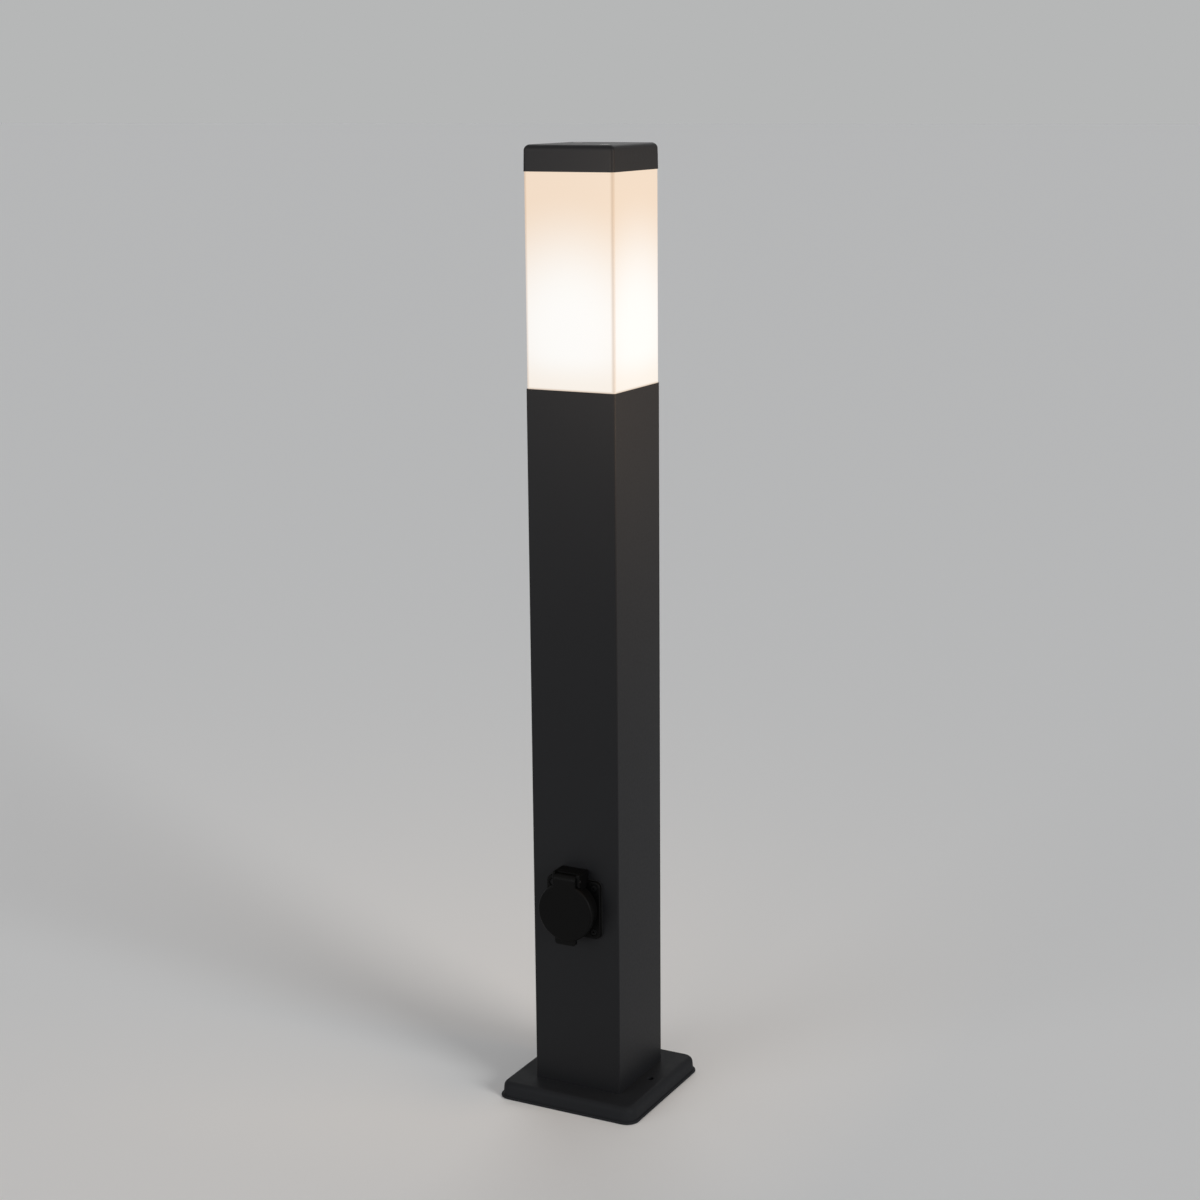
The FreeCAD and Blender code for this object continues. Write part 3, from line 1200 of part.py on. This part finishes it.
def top_cap():
    """Cast cap: a drafted shell with an inner step for the seal and two screw bosses."""
    body = new_body("top_cap")
    outer = new_sketch(body, "outer", "XY_Plane", level="cap_low")
    rectangle(outer, "cap_width / 2", "cap_width / 2", radius="cap_edge")
    block = pad(outer, "cap_height", draft="-cap_draft")
    dress(block, "Fillet", [at_level("Z", "cap_low + cap_height")], "cap_round")
    step = new_sketch(body, "step", "XY_Plane", level="cap_low")
    rectangle(step, "lip_half + head_gap", "lip_half + head_gap", radius="diffuser_edge")
    pocket(step, "diffuser_lip + seal_sheet", backwards=True)
    room = new_sketch(body, "room", "XY_Plane", level="cap_low")
    rectangle(room, "cap_width / 2 - cap_wall * 2", "cap_width / 2 - cap_wall * 2", radius="diffuser_edge")
    pocket(room, "cap_height - cap_roof", backwards=True)
    bosses = new_sketch(body, "bosses", "XY_Plane", level="seal_level + seal_sheet")
    for x, y in rod_places():
        circle(bosses, "cap_boss / 2", x, y)
    pad(bosses, "cap_height - cap_roof / 2 - diffuser_lip - seal_sheet")
    holes = new_sketch(body, "holes", "XY_Plane", level="cap_low + cap_height")
    for x, y in rod_places():
        circle(holes, "rod_bore / 2 + slide_fit", x, y)
    drilled = pocket(holes, "cap_height")
    rims = [at_level("Z", "cap_low + cap_height"), full_circle("rod_bore / 2 + slide_fit")]
    dress(drilled, "Chamfer", rims, "(cap_head - rod_bore) / 2 + slide_fit")
    return body


PORT_SCREW = ("port_screw / 2", "foot_screw_length", "foot_key_width")
parts = [
    foot_plate(),
    screws("foot_screws", "Z", corners_of("port_place"), "foot_seat", 1, "cap",
           ("foot_head_width / 2", "foot_head_height") + PORT_SCREW),
    cable_grommet(),
    post_tube(),
    terminal_bracket(),
    screws("bracket_screw", "Z", [("0", "base_middle")], "foot_height + bracket_sheet", -1, "pan",
           ("small_head / 2", "small_head_height", "small_screw / 2", "small_length", "small_screw / 2")),
    terminal_block(),
    terminal_clamps(),
    screws("terminal_screws", "Y", [("pole_spacing / 2", "block_low + block_height / 2"),
                                    ("-pole_spacing / 2", "block_low + block_height / 2")],
           "block_front + block_screw * 0.6", 1, "pan",
           ("block_screw * 0.9", "block_screw * 0.6", "block_screw / 2",
            "block_depth - block_screw * 0.6 + bracket_sheet", "block_screw / 2")),
    earth_washer(),
    screws("earth_screw", "Z", [("0", "-earth_place")], "foot_height + washer_sheet", -1, "pan",
           ("small_head / 2", "small_head_height", "small_screw / 2", "small_length", "small_screw / 2")),
    socket_gasket(),
    socket_housing(),
    socket_insert(),
    contact_sleeves(),
    earth_strap(),
    socket_rear_cover(),
    screws("rear_cover_screws", "Y",
           [(x, f"socket_height + ({z})") for x, z in cover_screw_places()],
           "cover_back - post_half", -1, "pan",
           ("cover_screw * 0.9", "cover_screw * 0.6", "cover_screw / 2", "cover_depth * 2",
            "cover_screw / 2")),
    screws("socket_screws", "Y",
           [(x, f"socket_height + {z}") for x, z in corners_of("flange_screw_spacing / 2")],
           "-post_half - flange_front + flange_sink", 1, "pan",
           ("flange_head / 2", "flange_head_height", "flange_screw / 2", "flange_screw_length",
            "flange_screw / 2")),
    socket_lid(),
    lid_seal(),
    hinge_pin(),
    lid_spring(),
    lead("socket_lead", "socket_lead_x",
         [("lead_place", "block_low + block_height"), ("lead_place", "socket_height", "socket_lead_bend"),
          ("cover_back - post_half - cover_wall", "socket_height")]),
    lead("lamp_lead", "0",
         [("lead_place", "block_low + block_height"),
          ("lead_place", "jacket_low - lamp_lead_shift * 1.5", "lamp_lead_bend"),
          ("0", "jacket_low - lamp_lead_shift / 2", "lamp_lead_bend"), ("0", "jacket_inside")]),
    head_plate(),
    screws("head_screws", "Z", corners_of("port_place"), "plate_top", -1, "sunk",
           ("sunk_head / 2", "head_sheet", "port_screw / 2", "head_screw_length", "port_screw / 2")),
    lamp_holder(),
    holder_ring(),
    holder_shell(),
    holder_contact(),
    lamp_cap(),
    lamp_body(),
    lamp_globe(),
    seal_ring("lower_seal", "plate_top", "head_drop - diffuser_lip"),
    diffuser(),
    seal_ring("upper_seal", "seal_level", "seal_sheet"),
    tie_rods(),
    top_cap(),
    screws("cap_screws", "Z", rod_places(), "cap_low + cap_height", -1, "sunk",
           ("cap_head / 2", "rod_bore * 0.6", "rod_bore / 2", "cap_screw_length", "rod_bore * 0.6")),
]
doc.recompute()
for item in doc.Objects:
    if "Invalid" in item.State or "Error" in item.State:
        raise RuntimeError(f"{item.Name} failed: {item.State}")
for piece in parts:
    if piece.Shape.isNull() or not piece.Shape.isValid():
        raise RuntimeError(f"{piece.Label} has no valid shape")
os.makedirs("parts", exist_ok=True)
for piece in parts:
    box = piece.Shape.BoundBox
    low = ", ".join(f"{number:.1f}" for number in (box.XMin, box.YMin, box.ZMin))
    high = ", ".join(f"{number:.1f}" for number in (box.XMax, box.YMax, box.ZMax))
    print(f"{piece.Label}: {len(piece.Shape.Solids)} solids, {piece.Shape.Volume:.0f} mm3, {low} to {high}")
    piece.Shape.exportStep(f"parts/{piece.Label}.step")
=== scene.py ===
"""Square bollard light with a lit opal head and a flap-lid socket: finishes, studio and camera."""
import math

import bpy
from mathutils import Matrix, Vector


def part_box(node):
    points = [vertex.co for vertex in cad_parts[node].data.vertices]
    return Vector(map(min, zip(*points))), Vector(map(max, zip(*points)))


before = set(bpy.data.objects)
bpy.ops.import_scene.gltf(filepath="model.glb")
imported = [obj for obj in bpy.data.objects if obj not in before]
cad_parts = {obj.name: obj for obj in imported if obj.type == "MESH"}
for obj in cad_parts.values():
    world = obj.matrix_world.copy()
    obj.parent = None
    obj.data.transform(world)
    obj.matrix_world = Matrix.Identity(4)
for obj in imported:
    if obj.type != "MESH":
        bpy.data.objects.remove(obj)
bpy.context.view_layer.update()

MM = 0.001

# Places on the object in metres, as the frame has them
HEAD_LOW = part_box("post_tube")[1][2]
HEAD_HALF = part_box("diffuser")[1][0]
GLOBE_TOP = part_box("lamp_globe")[1][2]

# The lit head is brightest a little below the globe's middle. Above the post it takes a share of its
# end colour. At the corners it takes a share of a darker tone, and along the joint with the post the
# same tone is painted shade. The band at the corners is measured inwards from the side faces.
LAMP_LEVEL = GLOBE_TOP - 34 * MM
END_REACH = 30 * MM
END_SHARE = 0.75
CORNER_BAND = 3.6 * MM
CORNER_FULL = 0.9 * MM
CORNER_SHARE = 0.4
# The darkening at the joint is painted shade; its tone is also the corners' darker tone
JOINT_SHADE_REACH = 1.6 * MM
JOINT_SHADE_SHARE = 0.6
CORNER_TONE_AND_JOINT_SHADE = "#a8835c"

# Most values of a noise texture lie between these two
NOISE_LOW = 0.3
NOISE_HIGH = 0.7

# The soft lamps that stand for the head's own light, in metres
GLOW_WIDTH = 0.16
GLOW_HEIGHT = 0.24

# The camera stands where the photographer's did: a little above the head and to the right of the
# socket. Its place, turn in radians and lens were fitted to the object's edges in the photograph.
CAMERA_PLACE = Vector((859.785, -1633.972, 846.318)) * MM
CAMERA_YAW = 0.482254
CAMERA_PITCH = 0.222561
CAMERA_ROLL = -0.008575
CAMERA_LENS = 68.879
SENSOR_WIDTH = 36.0


def linear(colour):
    """An sRGB hex colour as linear values with an alpha of 1."""
    shares = [int(colour[place:place + 2], 16) / 255 for place in (1, 3, 5)]
    bright = [((share + 0.055) / 1.055) ** 2.4 if share > 0.04045 else share / 12.92 for share in shares]
    return bright + [1.0]


def add(tree, kind, inputs=None, **settings):
    """Adds a node. An input is given a value, or another node's output to link it to."""
    made = tree.nodes.new(kind)
    for name, value in settings.items():
        setattr(made, name, value)
    for socket, value in (inputs or {}).items():
        if isinstance(value, bpy.types.NodeSocket):
            tree.links.new(value, made.inputs[socket])
        else:
            made.inputs[socket].default_value = value
    return made


def maths(tree, operation, *values):
    """One number worked out from others."""
    return add(tree, "ShaderNodeMath", dict(enumerate(values)), operation=operation).outputs[0]


def mix(tree, share, first, second):
    """A colour between two, the second where the share is 1.

    Of the node's inputs, 0 is the share and 6 and 7 are the colours. Output 2 is the mixed colour.
    """
    return add(tree, "ShaderNodeMix", {0: share, 6: first, 7: second}, data_type="RGBA").outputs[2]


def ramp(tree, value, start, end, low, high, curve="SMOOTHSTEP"):
    """A number that goes from low to high while a value goes from start to end."""
    made = add(tree, "ShaderNodeMapRange", {"Value": value, "From Min": start, "From Max": end,
                                            "To Min": low, "To Max": high}, interpolation_type=curve)
    return made.outputs[0]


def surface(name, tone, shade, roughness, metallic=0.0, specular=0.5, mottle_mm=60.0, grain_mm=1.2,
            grain_lift=0.1, grain_depth_mm=0.02, stretch=(1.0, 1.0, 1.0)):
    """A material whose colour wanders between two tones, with a fine grain in its gloss and height.

    stretch draws the grain out along an axis, as brushing and drawing do.
    """
    material = bpy.data.materials.new(name)
    material.use_nodes = True
    tree = material.node_tree
    shader = tree.nodes["Principled BSDF"]
    place = add(tree, "ShaderNodeTexCoord").outputs["Object"]
    cloud = add(tree, "ShaderNodeTexNoise", {"Vector": place, "Scale": 1 / (mottle_mm * MM), "Detail": 3.0})
    colour = mix(tree, cloud.outputs[0], linear(tone), linear(shade))
    drawn = add(tree, "ShaderNodeMapping", {"Vector": place, "Scale": stretch})
    grain = add(tree, "ShaderNodeTexNoise", {"Vector": drawn.outputs[0], "Scale": 1 / (grain_mm * MM),
                                            "Detail": 2.0, "Roughness": 0.6})
    gloss = ramp(tree, grain.outputs[0], NOISE_LOW, NOISE_HIGH, roughness - grain_lift / 2,
                 roughness + grain_lift / 2, curve="LINEAR")
    bump = add(tree, "ShaderNodeBump", {"Height": grain.outputs[0], "Strength": 0.5,
                                        "Distance": grain_depth_mm * MM})
    tree.links.new(colour, shader.inputs["Base Color"])
    tree.links.new(gloss, shader.inputs["Roughness"])
    tree.links.new(bump.outputs[0], shader.inputs["Normal"])
    shader.inputs["Metallic"].default_value = metallic
    shader.inputs["Specular IOR Level"].default_value = specular
    return material


def lit(material, near, far, end, reach_mm, strength):
    """Light from within: one colour beside the lamp that falls to another with distance from it.

    The lower end, which sits in the post, has a colour of its own. The corners are darker, and the
    edge at the joint with the post has painted shade in the same darker tone.
    """
    tree = material.node_tree
    shader = tree.nodes["Principled BSDF"]
    place = add(tree, "ShaderNodeTexCoord").outputs["Object"]
    apart = add(tree, "ShaderNodeVectorMath", {0: place, 1: (0.0, 0.0, LAMP_LEVEL)}, operation="DISTANCE")
    fall = ramp(tree, apart.outputs["Value"], HEAD_HALF, HEAD_HALF + reach_mm * MM, 0.0, 1.0)
    glow = mix(tree, fall, linear(near), linear(far))
    along_x, along_y, height = add(tree, "ShaderNodeSeparateXYZ", {0: place}).outputs
    low = ramp(tree, height, HEAD_LOW, HEAD_LOW + END_REACH, END_SHARE, 0.0)
    sunk = mix(tree, low, glow, linear(end))
    corner = maths(tree, "MINIMUM", maths(tree, "ABSOLUTE", along_x), maths(tree, "ABSOLUTE", along_y))
    edge = ramp(tree, corner, HEAD_HALF - CORNER_BAND, HEAD_HALF - CORNER_FULL, 0.0, CORNER_SHARE)
    # Painted shade: the lowest edge, against the post, is darkened towards the darker tone
    joint = ramp(tree, height, HEAD_LOW, HEAD_LOW + JOINT_SHADE_REACH, JOINT_SHADE_SHARE, 0.0, curve="LINEAR")
    edges_and_joint_shade = mix(tree, maths(tree, "MAXIMUM", edge, joint), sunk, linear(CORNER_TONE_AND_JOINT_SHADE))
    tree.links.new(edges_and_joint_shade, shader.inputs["Emission Color"])
    shader.inputs["Emission Strength"].default_value = strength
    return material


# Polyester powder coat, sprayed and baked: anthracite with a dull shine, a fine orange peel that is
# too small to see from here and is drawn at 2.5 mm, and long soft differences in tone
powder_coat = surface("powder coated aluminium", "#1d1e20", "#19191b", 0.45, specular=0.14, mottle_mm=180.0,
                      grain_mm=2.5, grain_lift=0.06, grain_depth_mm=0.02)
# The same coat over a sand casting: the skin of the mould shows as slow ripples of 9 mm
coated_casting = surface("powder coated casting", "#292a2c", "#242527", 0.45, specular=0.02, mottle_mm=60.0,
                         grain_mm=9.0, grain_lift=0.08, grain_depth_mm=0.2)
# Black polyamide from a spark-eroded mould: near black, with the matt grain of the mould
polyamide = surface("moulded black polyamide", "#070707", "#050505", 0.5, specular=0.08, mottle_mm=30.0,
                    grain_mm=0.9, grain_lift=0.12, grain_depth_mm=0.02)
# Pressed phenolic: harder and glossier than polyamide, brown in its black
phenolic = surface("pressed phenolic", "#191513", "#120f0e", 0.25, mottle_mm=20.0, grain_mm=1.5,
                   grain_lift=0.08)
# Nitrile rubber: a dull surface that takes dust
rubber = surface("nitrile rubber", "#151515", "#0e0e0f", 0.8, specular=0.3, mottle_mm=12.0, grain_mm=0.8,
                 grain_lift=0.1, grain_depth_mm=0.05)
# Extruded PVC sheath: matt black with a faint lay along its length
sheath = surface("extruded PVC sheath", "#18191a", "#121314", 0.55, mottle_mm=25.0, grain_mm=1.0,
                 stretch=(1.0, 1.0, 0.1))
# Turned stainless steel: bright, with fine rings from the tool
stainless = surface("turned stainless steel", "#b9b8b4", "#a3a29f", 0.3, metallic=1.0, mottle_mm=8.0,
                    grain_mm=0.6, grain_lift=0.16, stretch=(1.0, 1.0, 5.0))
# Blackened steel of the flange screws: oxide that lets a dull glint through
black_steel = surface("blackened steel", "#161617", "#101011", 0.5, metallic=0.8, mottle_mm=3.0,
                      grain_mm=0.5, grain_lift=0.16)
# Zinc plated sheet: grey with a slight bloom of passivation, rolled along one way
zinc_sheet = surface("zinc plated sheet", "#a9adb0", "#8f9497", 0.42, metallic=1.0, mottle_mm=14.0,
                     grain_mm=1.5, grain_lift=0.2, stretch=(0.12, 1.0, 1.0))
# Natural polyamide of the terminal block: milky and waxy
milky_polyamide = surface("natural polyamide", "#d6d2c6", "#c9c4b5", 0.45, mottle_mm=15.0, grain_mm=1.0)
# Stamped brass: warm yellow, drawn lines along the strip
brass = surface("stamped brass", "#b88f4a", "#a67d3c", 0.3, metallic=1.0, mottle_mm=6.0, grain_mm=0.8,
                grain_lift=0.16, stretch=(1.0, 0.15, 1.0))
# Nickel over the bronze of the earth strap and the shell of the lamp cap: pale and a little cloudy
nickel = surface("nickel plated bronze", "#b5afa3", "#9c968b", 0.32, metallic=1.0, mottle_mm=5.0,
                 grain_mm=0.7, grain_lift=0.16)
# Glossy white moulding of the lamp body
white_moulding = surface("white thermoplastic", "#dedcd4", "#d2cfc6", 0.28, mottle_mm=20.0, grain_mm=1.2,
                         grain_lift=0.05)
# Opal globe of the lamp, the brightest thing inside
opal_globe = lit(surface("opal globe", "#b8b3a8", "#aea99e", 0.3, mottle_mm=20.0, grain_mm=1.0,
                         grain_lift=0.05),
                 "#fffaf0", "#fff0dc", "#fff0dc", reach_mm=40.0, strength=1.0)
# Opal acrylic, extruded and satin: white beside the lamp and cream towards its ends. Its own colour
# is dark, because what it shows comes from the lamp and not from the studio.
opal_acrylic = lit(surface("opal acrylic", "#403f3d", "#3d3c3a", 0.35, specular=0.2, mottle_mm=90.0,
                           grain_mm=2.0, grain_lift=0.05, grain_depth_mm=0.01),
                   "#f2f1ef", "#e7d1bb", "#ede5db", reach_mm=78.0, strength=1.0)

FINISHES = {
    powder_coat: ("post_tube", "top_cap"),
    coated_casting: ("foot_plate",),
    polyamide: ("socket_housing", "socket_insert", "socket_lid", "socket_rear_cover"),
    phenolic: ("lamp_holder", "holder_ring"),
    rubber: ("socket_gasket", "lid_seal", "cable_grommet", "lower_seal", "upper_seal"),
    sheath: ("socket_lead", "lamp_lead"),
    stainless: ("foot_screws", "bracket_screw", "terminal_screws", "earth_washer", "earth_screw",
                "rear_cover_screws", "head_screws", "hinge_pin", "lid_spring", "tie_rods", "cap_screws"),
    black_steel: ("socket_screws",),
    zinc_sheet: ("terminal_bracket", "head_plate"),
    milky_polyamide: ("terminal_block",),
    brass: ("terminal_clamps", "contact_sleeves", "holder_shell", "holder_contact"),
    nickel: ("earth_strap", "lamp_cap"),
    white_moulding: ("lamp_body",),
    opal_globe: ("lamp_globe",),
    opal_acrylic: ("diffuser",),
}
for material, names in FINISHES.items():
    for name in names:
        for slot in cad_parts[name].material_slots:
            slot.material = material


def stage_floor():
    """A pale floor, large enough to reach the camera's horizon."""
    half = 40.0
    corners = [(-half, -half, 0), (half, -half, 0), (half, half, 0), (-half, half, 0)]
    mesh = bpy.data.meshes.new("studio_floor")
    mesh.from_pydata(corners, [], [(0, 1, 2, 3)])
    floor = bpy.data.objects.new("studio_floor", mesh)
    bpy.context.scene.collection.objects.link(floor)
    paper = bpy.data.materials.new("studio paper")
    paper.use_nodes = True
    shader = paper.node_tree.nodes["Principled BSDF"]
    shader.inputs["Base Color"].default_value = linear("#f0f0ef")
    shader.inputs["Roughness"].default_value = 0.95
    shader.inputs["Specular IOR Level"].default_value = 0.0
    mesh.materials.append(paper)


def stage_world():
    """Even light from all round, and a sky in the floor's tone that only camera, gloss and glass see."""
    world = bpy.data.worlds.new("studio")
    bpy.context.scene.world = world
    world.use_nodes = True
    tree = world.node_tree
    tree.nodes.clear()
    ray = add(tree, "ShaderNodeLightPath").outputs
    seen = maths(tree, "MAXIMUM", ray["Is Camera Ray"], ray["Is Glossy Ray"])
    seen = maths(tree, "MAXIMUM", seen, ray["Is Transmission Ray"])
    light = add(tree, "ShaderNodeBackground", {"Color": linear("#f4f6fa"), "Strength": 0.29})
    pale = add(tree, "ShaderNodeBackground", {"Color": linear("#b6b7b7"), "Strength": 1.0})
    both = add(tree, "ShaderNodeMixShader", {0: seen, 1: light.outputs[0], 2: pale.outputs[0]})
    add(tree, "ShaderNodeOutputWorld", {0: both.outputs[0]})


def far_light(name, towards, strength, spread):
    """A light so far off that it lights the whole floor alike.

    towards points from the object to the light, and spread is its width in degrees.
    """
    lamp = bpy.data.lights.new(name, "SUN")
    lamp.energy = strength
    lamp.angle = math.radians(spread)
    light = bpy.data.objects.new(name, lamp)
    light.rotation_euler = (-Vector(towards)).to_track_quat("-Z", "Y").to_euler()
    bpy.context.scene.collection.objects.link(light)


def softbox(name, place, target, watts, colour):
    """A soft lamp at a place in metres that faces a target and that the camera doesn't see."""
    lamp = bpy.data.lights.new(name, "AREA")
    lamp.shape = "RECTANGLE"
    lamp.size = GLOW_WIDTH
    lamp.size_y = GLOW_HEIGHT
    lamp.energy = watts
    lamp.color = linear(colour)[:3]
    box = bpy.data.objects.new(name, lamp)
    box.location = place
    box.rotation_euler = (Vector(target) - Vector(place)).to_track_quat("-Z", "Y").to_euler()
    box.visible_camera = False
    bpy.context.scene.collection.objects.link(box)


def stage_camera():
    """The photograph's view, from its fitted place, turn and lens."""
    level = math.cos(CAMERA_PITCH)
    ahead = Vector((-math.sin(CAMERA_YAW) * level, math.cos(CAMERA_YAW) * level, -math.sin(CAMERA_PITCH)))
    right = ahead.cross(Vector((0, 0, 1))).normalized()
    up = right.cross(ahead)
    side = math.cos(CAMERA_ROLL) * right + math.sin(CAMERA_ROLL) * up
    top = -math.sin(CAMERA_ROLL) * right + math.cos(CAMERA_ROLL) * up
    lens = bpy.data.cameras.new("photograph")
    lens.lens = CAMERA_LENS
    lens.sensor_fit = "HORIZONTAL"
    lens.sensor_width = SENSOR_WIDTH
    camera = bpy.data.objects.new("photograph", lens)
    turn = Matrix((side, top, -ahead)).transposed().to_4x4()
    camera.matrix_world = Matrix.Translation(CAMERA_PLACE) @ turn
    bpy.context.scene.collection.objects.link(camera)
    bpy.context.scene.camera = camera


stage_floor()
stage_world()
# Low lights, so that upright faces are brighter than the foot's top
far_light("key", towards=(0.8, -0.25, 0.28), strength=1.48, spread=24.0)
far_light("fill", towards=(-0.4, -0.85, 0.12), strength=1.0, spread=40.0)
far_light("rim", towards=(-0.3, 0.75, 0.6), strength=0.4, spread=40.0)
# The lit head's own light, as its surroundings send it back onto post and cap
softbox("glow on the front", place=(0.02, -0.26, 0.7), target=(0.02, 0, 0.7), watts=0.52, colour="#ffecd9")
softbox("glow on the side", place=(0.26, 0, 0.64), target=(0, 0, 0.64), watts=0.98, colour="#ffdab2")
stage_camera()
bpy.context.scene.view_settings.view_transform = "Standard"
